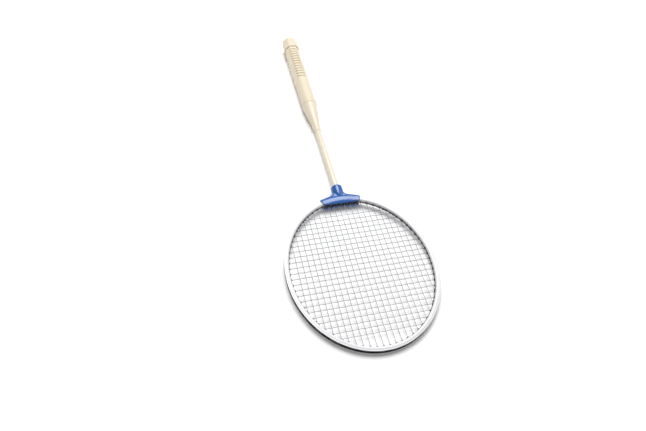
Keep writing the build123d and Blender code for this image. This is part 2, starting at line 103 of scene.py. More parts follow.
# Camera and lights, in metres and watts: name, place, aim, width and power of each lamp.
LENS_MM = 30.09
SENSOR_MM = 36.0
CAMERA_AT = (0.20007, 0.90538, 0.64488)
CAMERA_LOOK = (-0.20424, -0.57912, -0.78924)
CAMERA_UP = (-0.13343, -0.78225, 0.60851)
WORLD_STRENGTH = 0.36
LAMPS = (
    ("key", (-0.1, -0.55, 1.9), (0.0, 0.4, 0.0), 1.3, 47.0),
    ("rim", (-1.3, 0.1, 0.9), (0.0, 0.4, 0.0), 0.5, 3.0),
)
FLOOR_HALF = 6.0
FLOOR_GAP = 0.0003  # under the racket, so that nothing shares a surface
HEAD_REST = 0.005  # the hoop's underside rests this far short of its tip


# ---- sizes and colours that a user would change ----
def size(name, text, value):
    return bpy.props.FloatProperty(name=name, description=text, default=value, min=0.0)


def linear(code):
    """Scene-linear RGB of an sRGB hex code."""
    part = np.array([int(code[k : k + 2], 16) / 255 for k in (0, 2, 4)])
    part = np.where(part <= 0.04045, part / 12.92, ((part + 0.055) / 1.055) ** 2.4)
    return tuple(float(p) for p in part)


def colour(name, text, code):
    return bpy.props.FloatVectorProperty(
        name=name, description=text, default=linear(code), subtype="COLOR", size=3, min=0.0, max=1.0
    )


class RacketSizes(bpy.types.PropertyGroup):
    """Sizes in millimetres."""

    hoop_radial: size("Hoop depth", "Inner wall to outside, mm", 6.8)
    string_radius: size("String radius", "Half a string's thickness, mm", 0.4)
    string_level: size("String level", "Height of a string in its barrel, mm", 0.45)
    main_count: bpy.props.IntProperty(name="Mains", description="Strings along", default=22)
    main_pitch: size("Main pitch", "Between mains, mm", 8.6)
    cross_count: bpy.props.IntProperty(name="Crosses", description="Strings across", default=23)
    cross_pitch: size("Cross pitch", "Between crosses, mm", 8.9)
    cross_shift: size("Cross shift", "Middle of the crosses towards the tip, mm", 2.65)
    barrel_proud: size("Barrel proud", "Barrel and bend inside the hoop's wall, mm", 1.7)
    groove_lie: size("Groove lie", "Inner wall to a string in the groove, mm", 6.1)
    weave_gap: size("Weave gap", "Half the gap between crossing strings, mm", 0.03)
    turn_outside: size("Turn outside", "Length of a string's turn in the groove, mm", 1.0)
    turn_inside: size("Turn inside", "Length of a string's turn at a barrel, mm", 0.8)
    tail_length: size("Tail", "Last hole to the knot, mm", 2.5)
    # The rail is painted shade: a black strip along the hoop's inner wall where a line of shade
    # shows.
    shade_rail_start: size("Rail start", "Half the gap in the rail at the throat, mm", 33.0)
    shade_rail_proud: size("Rail proud", "Thickness of the rail, mm", 0.55)
    shade_rail_fit: size("Rail fit", "Hoop's wall to the rail, mm", 0.04)
    shade_rail_half_height: size("Rail half height", "Half the rail's height, mm", 0.95)
    knot_length: size("Knot length", "Along the groove, mm", 1.9)
    knot_radius: size("Knot radius", "Half a knot's height, mm", 0.72)
    knot_strand: size("Knot strand", "Radius of a knot's own turns, mm", 0.26)
    knot_level: size("Knot level", "Height of a knot in the groove, mm", 0.87)
    grip_flat: size("Grip flat", "Half across the flats at the butt, mm", 12.9)
    grip_flat_end: size("Grip flat at the ring", "Half across the flats there, mm", 13.5)
    handle_bore: size("Handle bore", "Radius round the core, mm", 10.3)
    grip_round: size("Grip round", "Half across the corners, mm", 14.3)
    grip_end: size("Grip end", "Radius at the ring, mm", 13.3)
    notch_first: size("First groove", "Butt to the first finger groove, mm", 36.5)
    notch_pitch: size("Groove pitch", "Between finger grooves, mm", 7.4)
    notch_width: size("Groove width", "Along the grip, mm", 2.8)
    notch_depth: size("Groove depth", "Into the face, mm", 1.4)
    notch_span: size("Groove span", "Half across the face, mm", 8.6)
    notch_count: bpy.props.IntProperty(name="Grooves", description="On each face", default=12)
    cap_flat: size("Cap flat", "Half across the flats at the grip, mm", 14.7)
    cap_taper: size("Cap taper", "Narrowing to the butt, mm", 0.7)
    cap_edge: size("Cap edge", "Rounding of the cap's edges, mm", 1.2)
    cap_corner: size("Cap corner", "Half across the corners over half across the flats", 1.058)
    cap_bore: size("Cap bore", "Radius of the cap's cup, mm", 12.45)
    cap_floor: size("Cap floor", "Thickness of the cap's closed end, mm", 3.0)
    cone_middle: size("Cone middle", "Radius that draws the cone in half way along, mm", 9.85)
    cone_lip: size("Cone lip", "Shaft to the outside of the cone's mouth, mm", 0.5)
    shaft_fit: size("Shaft fit", "Shaft to the cone's bore, mm", 0.06)
    shaft_wall: size("Shaft wall", "Thickness of the tube, mm", 0.9)
    yoke_fineness: size("Throat fineness", "Edge of the throat piece's remesh, mm", 0.34)


class RacketColours(bpy.types.PropertyGroup):
    """Finishes as sRGB hex codes."""

    hoop: colour("Hoop", "Baked white paint", "E2E2E4")
    grommet: colour("Grommets", "Black nylon", "141416")
    yoke: colour("Throat piece", "Blue moulded plastic", "1A58A4")
    string: colour("Strings", "Undyed nylon", "96969B")
    grip: colour("Grip", "Cream moulded plastic", "DDD1BA")
    shaft: colour("Shaft", "Cream lacquer", "E1D7C3")
    ring: colour("Ring", "Cream moulded plastic", "DFD3BD")
    wood: colour("Core", "Beech", "C49A6C")
    steel: colour("Pin", "Bright steel", "B9BBBE")
    alloy: colour("Joiner", "Raw aluminium", "C6C8CB")
    floor: colour("Floor", "Pale studio floor", "FFFFFF")


def sizes():
    return bpy.context.scene.racket_sizes


def shades():
    return bpy.context.scene.racket_colours


# ---- meshes from arrays ----
def skin(name, rings, closed_path, sharp=None):
    """Mesh of a surface given as rings: rings[i, j] is point j of the closed ring at station i.

    Between station i and i + 1, points j and j + 1 make one four-sided face. An open surface ends
    in one pole at each end ring's mean. The UV map holds the station and the point number.
    """
    rings = np.asarray(rings, float) * MM
    n, m = rings.shape[:2]
    i = np.arange(n if closed_path else n - 1)
    a = i[:, None] * m + np.arange(m)[None, :]
    b = i[:, None] * m + (np.arange(m)[None, :] + 1) % m
    c, d = (b + m) % (n * m), (a + m) % (n * m)
    quads = np.stack([a, b, c, d], -1).reshape(-1, 4)
    points = rings.reshape(-1, 3)
    edge, ahead = points[quads[:, 0]], points[quads[:, 1]] - points[quads[:, 0]]
    volume = np.einsum("ij,ij->", edge, np.cross(ahead, points[quads[:, 3]] - edge))
    faces = [quads]
    caps = []
    if not closed_path:
        points = np.vstack([points, rings[0].mean(0), rings[-1].mean(0)])
        j = np.arange(m)
        start = np.stack([np.full(m, n * m), (j + 1) % m, j], -1)
        last = (n - 1) * m
        end = np.stack([np.full(m, n * m + 1), last + j, last + (j + 1) % m], -1)
        caps = [start, end]
    if volume < 0:
        faces = [q[:, ::-1] for q in faces]
        caps = [t[:, ::-1] for t in caps]
    mesh = bpy.data.meshes.new(name)
    blocks = faces + caps
    mesh.from_pydata(points.tolist(), [], sum((block.tolist() for block in blocks), []))
    layer = mesh.uv_layers.new(name="along_and_round")
    corner = np.concatenate([block.ravel() for block in blocks])
    on_ring = corner < n * m
    uv = np.stack([np.where(on_ring, corner // m, 0), np.where(on_ring, corner % m, 0)], -1)
    layer.data.foreach_set("uv", uv.astype(np.float32).ravel())
    mesh.shade_smooth()
    if sharp is not None:
        mesh.set_sharp_from_angle(angle=np.radians(sharp))
    mesh.validate()
    mesh.update()
    return mesh


def place(name, mesh, material, replaced=()):
    """Puts a finished mesh in the scene at the origin, riding on the racket's one body."""
    piece = bpy.data.objects.new(name, mesh)
    bpy.context.scene.collection.objects.link(piece)
    mesh.materials.clear()
    mesh.materials.append(material)
    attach(piece, "root")
    if replaced:
        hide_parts(*replaced)
    return piece


def lathe(profile, count):
    """Rings of a solid turned about Y: each (radius, y) of the profile gives one round ring."""
    profile = np.asarray(profile, float)
    angle = np.linspace(0, 2 * np.pi, count, endpoint=False)[None, :]
    return turned(np.repeat(profile[:, :1], count, 1), angle, profile[:, 1])


def circles(path, radius, side, top, count):
    """Round rings about a path's points: path + radius * (cos * side + sin * top)."""
    angle = np.linspace(0, 2 * np.pi, count, endpoint=False)[None, :, None]
    return path[:, None] + radius * (np.cos(angle) * side[:, None] + np.sin(angle) * top[:, None])


def turned(radius, angle, y):
    """Rings about Y, where radius[i, j] is the distance at height y[i] and angle[0, j]."""
    level = np.broadcast_to(y[:, None], radius.shape)
    return np.stack([radius * np.cos(angle), level, radius * np.sin(angle)], -1)


def tube(path, radius, count):
    """Rings of a round tube along a path that never runs straight up.

    The side vector is the path's direction crossed with Z, and the top one is side crossed with
    direction.
    """
    ahead = np.gradient(path, axis=0)
    ahead /= np.linalg.norm(ahead, axis=1, keepdims=True)
    side = np.cross(ahead, UP)
    side /= np.linalg.norm(side, axis=1, keepdims=True)
    return circles(path, radius, side, np.cross(side, ahead), count)


def ring_tube(path, radius, count):
    """Rings of a tube round a closed path, each square to the path's direction."""
    ahead = np.roll(path, -1, 0) - np.roll(path, 1, 0)
    ahead /= np.linalg.norm(ahead, axis=1, keepdims=True)
    middle = path - path.mean(0)
    side = np.cross(ahead, middle / np.linalg.norm(middle, axis=1, keepdims=True).clip(1e-6))
    side /= np.linalg.norm(side, axis=1, keepdims=True).clip(1e-6)
    return circles(path, radius, side, np.cross(side, ahead), count)


def smooth(t):
    """0 below 0, 1 above 1, and 3t^2 - 2t^3 between."""
    t = np.clip(t, 0, 1)
    return t * t * (3 - 2 * t)


def round_corner(profile, at, radius, steps=5):
    """A quadratic curve in place of one corner, starting and ending radius away from it."""
    before, corner, after = (np.array(profile[k], float) for k in (at - 1, at, at + 1))
    start = corner + (before - corner) * min(0.5, radius / np.linalg.norm(before - corner))
    end = corner + (after - corner) * min(0.5, radius / np.linalg.norm(after - corner))
    t = np.linspace(0, 1, steps)[:, None]
    return (1 - t) ** 2 * start + 2 * t * (1 - t) * corner + t**2 * end


def eased(profile, radius):
    """A (radius, y) profile with every inner corner rounded by up to radius; its ends stay."""
    middle = [round_corner(profile, k, radius) for k in range(1, len(profile) - 1)]
    return np.vstack([[profile[0]], *middle, [profile[-1]]])


# ---- materials ----
def opaque(colour_value, share=1.0):
    """A colour property as RGBA, darkened to a share of itself."""
    return (*(share * part for part in colour_value), 1.0)


def add(tree, kind, inputs=None, **settings):
    """Adds a node with its settings; an input given a socket is linked, any other is set."""
    node = tree.nodes.new(kind)
    for name, value in settings.items():
        setattr(node, name, value)
    for name, value in (inputs or {}).items():
        if isinstance(value, bpy.types.NodeSocket):
            tree.links.new(value, node.inputs[name])
        else:
            node.inputs[name].default_value = value
    return node


def shader(name, **values):
    """A new material with one Principled shader: (material, tree, shader node)."""
    material = bpy.data.materials.new(name)
    material.use_nodes = True
    tree = material.node_tree
    tree.nodes.clear()
    inputs = {key.replace("_", " "): value for key, value in values.items()}
    body = add(tree, "ShaderNodeBsdfPrincipled", inputs)
    out = add(tree, "ShaderNodeOutputMaterial")
    tree.links.new(body.outputs["BSDF"], out.inputs["Surface"])
    return material, tree, body


def place_of(tree):
    """The object's own coordinates, in metres."""
    return add(tree, "ShaderNodeTexCoord").outputs["Object"]


def blend(tree, factor, deep, light):
    """The colour output of a mix from deep, where the factor is 0, to light, where it is 1."""
    node = add(tree, "ShaderNodeMix", {"Factor": factor, 6: deep, 7: light}, data_type="RGBA")
    return node.outputs[2]


def mottle(
    tree, body, base, dark, size_mm, detail=3.0, bump=0.0, bump_size_mm=None, depth_mm=0.02
):
    """Colour that drifts between a shade and a slightly darker one, and a fine bump over it."""
    where = place_of(tree)
    cloud = add(
        tree,
        "ShaderNodeTexNoise",
        {"Vector": where, "Scale": 1 / (size_mm * MM), "Detail": detail},
    )
    mix = blend(tree, cloud.outputs["Fac"], opaque(base, dark), opaque(base))
    tree.links.new(mix, body.inputs["Base Color"])
    if bump:
        grain = add(
            tree,
            "ShaderNodeTexNoise",
            {"Vector": where, "Scale": 1 / (bump_size_mm * MM), "Detail": 2.0},
        )
        relief = add(
            tree,
            "ShaderNodeBump",
            {"Height": grain.outputs["Fac"], "Strength": bump, "Distance": depth_mm * MM},
        )
        tree.links.new(relief.outputs["Normal"], body.inputs["Normal"])
    return cloud


def vary_roughness(tree, body, cloud, low, high):
    """Roughness that follows a pattern from low to high, as handling leaves it."""
    range_ = add(
        tree,
        "ShaderNodeMapRange",
        {
            "Value": cloud.outputs["Fac"],
            "From Min": 0.3,
            "From Max": 0.7,
            "To Min": low,
            "To Max": high,
        },
    )
    tree.links.new(range_.outputs["Result"], body.inputs["Roughness"])


def baked_paint():
    """Polyester powder baked on aluminium: even white, a soft gloss with faint orange peel."""
    material, tree, body = shader(
        "baked white paint", IOR=1.5, Coat_Weight=0.35, Coat_Roughness=0.12
    )
    cloud = mottle(
        tree, body, shades().hoop, dark=0.965, size_mm=55,
        bump=0.12, bump_size_mm=1.6, depth_mm=0.03,
    )
    vary_roughness(tree, body, cloud, low=0.28, high=0.38)
    return material


def black_nylon():
    """Injection-moulded nylon 6: near black with a dull sheen and a fine dry grain."""
    material, tree, body = shader("black moulded nylon", IOR=1.53)
    cloud = mottle(
        tree, body, shades().grommet, dark=0.7, size_mm=4, bump=0.2, bump_size_mm=0.35
    )
    vary_roughness(tree, body, cloud, low=0.38, high=0.52)
    return material


def blue_plastic():
    """Injection-moulded ABS: deep even blue, glossy, with slight sink waves in its reflections."""
    material, tree, body = shader("blue moulded ABS", IOR=1.52, Coat_Weight=0.2, Coat_Roughness=0.1)
    cloud = mottle(
        tree, body, shades().yoke, dark=0.9, size_mm=14, bump=0.1, bump_size_mm=5, depth_mm=0.06
    )
    vary_roughness(tree, body, cloud, low=0.2, high=0.3)
    return material


def cream_plastic(name, base):
    """Injection-moulded polypropylene: warm cream, waxy, letting a little light in."""
    material, tree, body = shader(name, IOR=1.49, Subsurface_Weight=0.12, Subsurface_Scale=0.004)
    body.inputs["Subsurface Radius"].default_value = (1.0, 0.7, 0.45)
    cloud = mottle(
        tree, body, base, dark=0.93, size_mm=26, bump=0.15, bump_size_mm=0.8, depth_mm=0.03
    )
    vary_roughness(tree, body, cloud, low=0.3, high=0.44)
    return material


def cream_lacquer():
    """Steel tube sprayed cream: smooth and glossy, with a barely uneven coat along its length."""
    material, tree, body = shader(
        "cream lacquer on steel", IOR=1.5, Coat_Weight=0.4, Coat_Roughness=0.08
    )
    cloud = mottle(
        tree, body, shades().shaft, dark=0.96, size_mm=30,
        bump=0.08, bump_size_mm=2.2, depth_mm=0.03,
    )
    vary_roughness(tree, body, cloud, low=0.24, high=0.34)
    return material


def string_nylon():
    """Extruded nylon cord with a wound sheath: pale and half clear, with a fine spiral along it."""
    material, tree, body = shader("wound nylon string", IOR=1.53, Roughness=0.3)
    turn = add(tree, "ShaderNodeUVMap", uv_map="along_and_round").outputs["UV"]
    # The map holds stations along the string and eighths of a turn round it.
    wind = add(
        tree,
        "ShaderNodeTexWave",
        {"Vector": turn, "Scale": 0.35, "Distortion": 0.0},
        bands_direction="DIAGONAL",
    )
    pale = shades().string
    mix = blend(tree, wind.outputs["Fac"], opaque(pale, 0.8), opaque(pale))
    tree.links.new(mix, body.inputs["Base Color"])
    relief = add(
        tree,
        "ShaderNodeBump",
        {"Height": wind.outputs["Fac"], "Strength": 0.25, "Distance": 0.05 * MM},
    )
    tree.links.new(relief.outputs["Normal"], body.inputs["Normal"])
    return material


def knot_nylon():
    """The same nylon pulled into a knot, where the winding is too tight to see."""
    material, tree, body = shader("knotted nylon", IOR=1.53)
    cloud = mottle(
        tree, body, shades().string, dark=0.8, size_mm=0.8, bump=0.4, bump_size_mm=0.3
    )
    vary_roughness(tree, body, cloud, low=0.3, high=0.45)
    return material


def beech():
    """Turned beech: fine straight grain with the short dark flecks of its rays."""
    material, tree, body = shader("turned beech", IOR=1.46, Roughness=0.6)
    where = add(tree, "ShaderNodeMapping", {"Vector": place_of(tree), "Scale": (1.0, 0.06, 1.0)})
    grain = add(
        tree,
        "ShaderNodeTexNoise",
        {"Vector": where.outputs["Vector"], "Scale": 1 / (0.9 * MM), "Detail": 5.0},
    )
    pale = shades().wood
    mix = blend(tree, grain.outputs["Fac"], opaque(pale, 0.62), opaque(pale))
    tree.links.new(mix, body.inputs["Base Color"])
    return material


def bare_metal(name, base, low, high):
    """Drawn metal: bright, with fine marks left by the die along it."""
    material, tree, body = shader(name, Metallic=1.0)
    where = add(tree, "ShaderNodeMapping", {"Vector": place_of(tree), "Scale": (0.05, 1.0, 1.0)})
    cloud = add(
        tree,
        "ShaderNodeTexNoise",
        {"Vector": where.outputs["Vector"], "Scale": 1 / (0.3 * MM), "Detail": 3.0},
    )
    body.inputs["Base Color"].default_value = opaque(base)
    vary_roughness(tree, body, cloud, low=low, high=high)
    return material


def floor_card():
    """Matt paper sweep: white, with almost no gloss, so that shadows stay soft."""
    material, tree, body = shader("white paper floor", Roughness=0.95)
    body.inputs["Specular IOR Level"].default_value = 0.1
    mottle(tree, body, shades().floor, dark=0.995, size_mm=300)
    return material


def finish_node(node, material):
    """Gives a frame node, whose shape is right, its real finish."""
    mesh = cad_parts[node].data
    mesh.materials.clear()
    mesh.materials.append(material)


# ---- the strings ----
def head_ellipse():
    """Centre y and half axes, in mm, of the hoop's inner wall, from the frame's hoop."""
    deep = sizes().hoop_radial
    half_x = (HEAD_HIGH[0] - HEAD_LOW[0]) / 2 - deep
    half_y = (HEAD_HIGH[1] - HEAD_LOW[1]) / 2 - deep
    return (HEAD_HIGH[1] + HEAD_LOW[1]) / 2, half_x, half_y


def stations(across, count, pitch, shift):
    """Both mouths of each string of a set, (count, 2, 3): where it bends into its barrels.

    Mains (across = 0) stand at even x and end where x / a and y / b lie on the ellipse inside the
    barrels; crosses (across = 1) stand at even y.
    """
    middle, half_x, half_y = head_ellipse()
    proud = sizes().barrel_proud
    a, b = half_x - proud, half_y - proud
    at = (np.arange(count) - (count - 1) / 2) * pitch + shift
    sides = np.array([-1.0, 1.0])[None, :]
    if across:
        x = sides * a * np.sqrt(1 - (at[:, None] / b) ** 2)
        y = np.broadcast_to(at[:, None], x.shape) + middle
    else:
        y = sides * b * np.sqrt(1 - (at[:, None] / a) ** 2) + middle
        x = np.broadcast_to(at[:, None], y.shape)
    return np.stack([x, y, np.zeros_like(x)], -1)


def barrel_axis(point):
    """Unit normals, in the string plane, of the ellipse through the mouths."""
    middle, half_x, half_y = head_ellipse()
    proud = sizes().barrel_proud
    across, along = point[..., 0], point[..., 1] - middle
    away = np.stack([across / (half_x - proud) ** 2, along / (half_y - proud) ** 2], -1)
    away /= np.linalg.norm(away, axis=-1, keepdims=True)
    return np.concatenate([away, np.zeros_like(away[..., :1])], -1)


def bend(before, corner, after, radius, steps):
    """Curves at corners, (corners, steps, 3): quadratic, from radius before to radius past each."""
    back, on = before - corner, after - corner
    back_length = np.linalg.norm(back, axis=-1, keepdims=True)
    on_length = np.linalg.norm(on, axis=-1, keepdims=True)
    start = corner + back * np.minimum(BEND_SHARE, radius / back_length)
    end = corner + on * np.minimum(BEND_SHARE, radius / on_length)
    t = np.linspace(0, 1, steps)[None, :, None]
    return (1 - t) ** 2 * start[:, None] + 2 * t * (1 - t) * corner[:, None] + t**2 * end[:, None]


def string_path(across, level, samples):
    """One woven string from knot to knot.

    Each run is a straight line whose height is a cosine of the distance along it, with one half
    wave for each string it crosses: over one and under the next, and the other way on the next
    run. The wave fades near each end to the height of the barrel. Between runs the string turns
    into the groove outside the hoop and back through the next barrel.
    """
    s = sizes()
    mains = (s.main_count, s.main_pitch, 0.0)
    crosses = (s.cross_count, s.cross_pitch, s.cross_shift)
    mine, theirs = (crosses, mains) if across else (mains, crosses)
    mouths = stations(across, *mine)
    run = np.arange(mine[0])
    first = (run + 1) % 2  # the run starts on this side: 1, 0, 1 and so on
    a = mouths[run, first]
    b = mouths[run, 1 - first]
    reach = s.groove_lie + s.barrel_proud
    out_a, out_b = a + barrel_axis(a) * reach, b + barrel_axis(b) * reach
    side_a = np.cross(barrel_axis(a[:1]), UP)
    side_b = np.cross(barrel_axis(b[-1:]), UP)
    side_a *= -np.sign(np.sum(side_a * (mouths[1, first[0]] - a[:1]), -1, keepdims=True))
    side_b *= -np.sign(np.sum(side_b * (mouths[-2, 1 - first[-1]] - b[-1:]), -1, keepdims=True))
    tail_a = out_a[:1] + side_a * s.tail_length
    tail_b = out_b[-1:] + side_b * s.tail_length
    before = np.vstack([tail_a, out_b[:-1]])
    after = np.vstack([out_a[1:], tail_b])
    turns = [
        bend(before, out_a, a, s.turn_outside, 7),
        bend(out_a, a, b, s.turn_inside, 6),
        bend(a, b, out_b, s.turn_inside, 6),
        bend(b, out_b, after, s.turn_outside, 7),
    ]
    start, end = turns[1][:, -1], turns[2][:, 0]
    t = (np.arange(samples) + 0.5)[None, :, None] / samples
    line = start[:, None] + (end - start)[:, None] * t
    along = line[..., 0] if across else line[..., 1] - head_ellipse()[0]
    nearest = (along - theirs[2]) / theirs[1] + (theirs[0] - 1) / 2
    over = np.where(run % 2 == 0, 1.0, -1.0)[:, None] * (-1.0 if across else 1.0)
    wave = over * np.cos(np.pi * nearest) * (s.string_radius + s.weave_gap)
    from_end = np.minimum(t[..., 0], 1 - t[..., 0]) * np.linalg.norm(end - start, axis=-1)[:, None]
    fade = smooth(from_end / (FADE_SHARE * s.main_pitch))
    line[..., 2] = wave * fade + level * (1 - fade)
    lift = level * UP
    turns = [arc + lift for arc in turns]
    runs = np.concatenate([turns[0], turns[1], line, turns[2], turns[3]], 1).reshape(-1, 3)
    return np.vstack([tail_a + lift, runs, tail_b + lift])


def build_strings():
    """Both strings as tubes of eight sides along their woven paths."""
    finish = string_nylon()
    level = sizes().string_level
    for node, across, height in (("main_string", 0, level), ("cross_string", 1, -level)):
        path = string_path(across, height, RUN_POINTS)
        rings = tube(path, sizes().string_radius, STRING_SIDES)
        mesh = skin(f"{node}_woven", rings, False)
        place(f"{node}_woven", mesh, finish, [node])


def build_knots():
    """A small knot at each string's end, lying in the groove beyond the last hole.

    Each is a trefoil, (sin t + 2 sin 2t, cos t - 2 cos 2t, -sin 3t), scaled so that it is as long
    as the frame's lump along the string, as tall as it across, and flatter outwards.
    """
    s = sizes()
    finish = knot_nylon()
    t = np.linspace(0, 2 * np.pi, KNOT_POINTS + 1)[:-1]
    x, y = np.sin(t) + 2 * np.sin(2 * t), np.cos(t) - 2 * np.cos(2 * t)
    knot = np.stack([x, y, -np.sin(3 * t)], -1)
    knot /= np.abs(knot).max(0)
    size_out = KNOT_FLATNESS * s.knot_radius
    half = np.array([s.knot_length / 2, s.knot_radius, size_out]) - s.knot_strand
    for set_name, across in (("main", 0), ("cross", 1)):
        level = -s.knot_level if across else s.knot_level
        path = string_path(across, level, 4)
        for end, (tip, before) in (("first", path[:2]), ("last", path[:-3:-1])):
            along = (tip - before) / np.linalg.norm(tip - before)
            axes = np.stack([along, UP, np.cross(along, UP)])
            middle = tip + along * s.knot_length / 2
            rings = ring_tube(middle + knot * half @ axes, s.knot_strand, STRING_SIDES)
            name = f"{set_name}_knot_{end}"
            place(name, skin(name, rings, True), finish, ["string_knots"])


# ---- the handle ----
def octagon(angle, flat, corner):
    """Radius of an eight-sided section with flats at every eighth of a turn and softened corners.

    flat / cos(angle from the nearest flat) is met with the corner radius by a power mean, which is
    never more than either. The higher the power, the tighter the rounding.
    """
    off = (angle + np.pi / 8) % (np.pi / 4) - np.pi / 8
    straight = flat / np.cos(off)
    return (straight**-CORNER_POWER + corner**-CORNER_POWER) ** (-1 / CORNER_POWER)


def end_face(ring, depth, bore):
    """Rings from a grip's end ring to its bore: an eased edge, then a face square to Y."""
    reach = np.linalg.norm(ring[:, [0, 2]], axis=1)
    angle = np.arctan2(ring[:, 2], ring[:, 0])[None, :]
    radius = np.stack([reach - 0.15, reach - 0.5, np.full_like(reach, bore)])
    return turned(radius, angle, ring[0, 1] + depth * np.array([0.7, 1.0, 1.0]))


def build_grip():
    """Grip: eight soft sides at the butt that run out to round at the ring, grooved on two faces.

    radius(angle, y) is the octagon's with its flat and its corner radius both drifting along y. In
    a groove it sinks towards an octagon smaller by the groove's depth, by the product of a smooth
    step along y and one across x.
    """
    s = sizes()
    start, end = CAP_HIGH[1], GRIP_HIGH[1]
    last = s.notch_first + (s.notch_count - 1) * s.notch_pitch
    fine = np.arange(s.notch_first - GROOVE_MARGIN, last + GROOVE_MARGIN, GROOVE_STEP)
    before = np.linspace(start + BUTT_EDGE, fine[0] - 0.3, 5)
    after = np.linspace(fine[-1] + 1, end - RING_EDGE, 30)
    y = np.concatenate([before, fine, after])
    angle = np.linspace(0, 2 * np.pi, GRIP_SIDES, endpoint=False)[None, :]
    share = smooth((y - start) / (end - start))[:, None]
    flat = s.grip_flat + (s.grip_flat_end - s.grip_flat) * (y[:, None] - start) / (end - start)
    corner = s.grip_round + (s.grip_end - s.grip_round) * smooth((share - ROUND_FROM) / ROUND_OVER)
    outer = octagon(angle, flat, corner)
    inner = octagon(angle, flat - s.notch_depth, corner)
    groove = (y - s.notch_first) / s.notch_pitch
    groove = np.abs(groove - np.clip(np.round(groove), 0, s.notch_count - 1)) * s.notch_pitch
    along = smooth((s.notch_width / 2 + GROOVE_EASE / 2 - groove) / GROOVE_EASE)[:, None]
    from_side = s.notch_span + SPAN_EASE / 2 - np.abs(outer * np.cos(angle))
    across = smooth(from_side / SPAN_EASE)
    radius = outer - (outer - inner) * along * across
    rings = turned(radius, angle, y)
    butt = end_face(rings[0], -BUTT_EDGE, s.handle_bore)[::-1]
    ring_end = end_face(rings[-1], RING_EDGE, s.handle_bore)
    wall = [(s.handle_bore, end - BORE_INSET), (s.handle_bore, start + BORE_INSET)]
    bore = lathe(wall, GRIP_SIDES)
    rings = np.concatenate([butt, rings, ring_end, bore], 0)
    mesh = skin("grip_moulded", rings, True, sharp=50)
    finish = cream_plastic("cream moulded grip", shades().grip)
    place("grip_moulded", mesh, finish, ["grip_sleeve"])


def build_cap():
    """Butt cap: an eight-sided cup whose edges are eased along quarter rounds, closed at the butt.

    The section's flat grows by the taper from the butt to the grip, and near each end it shrinks by
    edge - sqrt(edge^2 - (edge - distance)^2). The end face dips by a shallow dish.
    """
    s = sizes()
    low, high, edge = CAP_LOW[1], CAP_HIGH[1], s.cap_edge
    part = np.linspace(0, np.pi / 2, 7)
    near = edge * (1 - np.cos(part))
    between = np.linspace(low + edge * 1.5, high - edge * 1.5, 9)
    y = np.concatenate([low + near, between, high - near[::-1]])
    from_end = np.minimum(np.minimum(y - low, high - y), edge)
    inset = edge - np.sqrt(np.maximum(edge**2 - (edge - from_end) ** 2, 0))
    flat = s.cap_flat - s.cap_taper * (high - y) / (high - low) - inset
    angle = np.linspace(0, 2 * np.pi, CAP_SIDES, endpoint=False)[None, :]
    radius = octagon(angle, flat[:, None], flat[:, None] * s.cap_corner)
    rings = turned(radius, angle, y)
    dish = [(0.02, 0.5), (4.0, 0.5), (8.4, 0.45), (9.2, 0.1), (10.0, 0.0)]
    face = lathe([(r, low + depth) for r, depth in dish], CAP_SIDES)
    inside = low + s.cap_floor
    bore = lathe([(s.cap_bore, high), (s.cap_bore, inside), (dish[0][0], inside)], CAP_SIDES)
    rings = np.concatenate([face, rings, bore], 0)
    mesh = skin("butt_cap_moulded", rings, False, sharp=40)
    finish = cream_plastic("cream moulded cap", shades().grip)
    place("butt_cap_moulded", mesh, finish, ["butt_cap"])


def build_ring():
    """Collar between grip and cone: a turned band with a shallow crown and two eased edges."""
    low, high, radius = RING_LOW[1], RING_HIGH[1], RING_HIGH[0]
    bore, edge = sizes().handle_bore, radius - 0.05
    outside = [(bore, low), (edge, low), (radius, (low + high) / 2), (edge, high), (bore, high)]
    profile = eased(outside, 0.45)
    mesh = skin("ring_moulded", lathe(profile, TURNED_SIDES), True, sharp=60)
    finish = cream_plastic("cream moulded ring", shades().ring)
    place("ring_moulded", mesh, finish, ["handle_ring"])


def build_cone():
    """Cone: a cubic Bezier side from the ring to a thin lip on the shaft, bored through."""
    s = sizes()
    low, high, radius = CONE_LOW[1], CONE_HIGH[1], CONE_HIGH[0]
    length, lip, bore = high - low, SHAFT_HIGH[0] + s.cone_lip, SHAFT_HIGH[0] + s.shaft_fit
    t = np.linspace(0.02, 1, 60)[:, None]
    control = np.array(
        [
            (radius, low),
            (s.cone_middle, low + 0.5 * length),
            (lip, low + 0.75 * length),
            (lip, high),
        ]
    )
    weights = np.hstack([(1 - t) ** 3, 3 * t * (1 - t) ** 2, 3 * t**2 * (1 - t), t**3])
    side = weights @ control
    foot = [(s.handle_bore, low), (radius - 0.35, low), (radius - 0.08, low + 0.2)]
    side[-1, 1] -= 0.25
    mouth = [(lip - 0.18, high), (bore, high), (bore, low + 16), (s.handle_bore, low + 14.1)]
    profile = np.vstack([foot, side, mouth])
    mesh = skin("cone_moulded", lathe(profile, TURNED_SIDES), True, sharp=60)
    finish = cream_plastic("cream moulded cone", shades().ring)
    place("cone_moulded", mesh, finish, ["handle_cone"])


def build_shaft():
    """Shaft: a round lacquered tube, its cut ends hidden in the core and the throat piece."""
    low, high, radius = SHAFT_LOW[1], SHAFT_HIGH[1], SHAFT_HIGH[0]
    along = np.linspace(low + 0.3, high - 0.3, 60)
    bore, edge = radius - sizes().shaft_wall, radius - 0.2
    side = np.stack([np.full(len(along), radius), along], -1)
    profile = np.vstack([[(bore, low), (edge, low)], side, [(edge, high), (bore, high)]])
    mesh = skin("shaft_tube", lathe(profile, SHAFT_SIDES), True, sharp=60)
    place("shaft_tube", mesh, cream_lacquer(), ["shaft"])


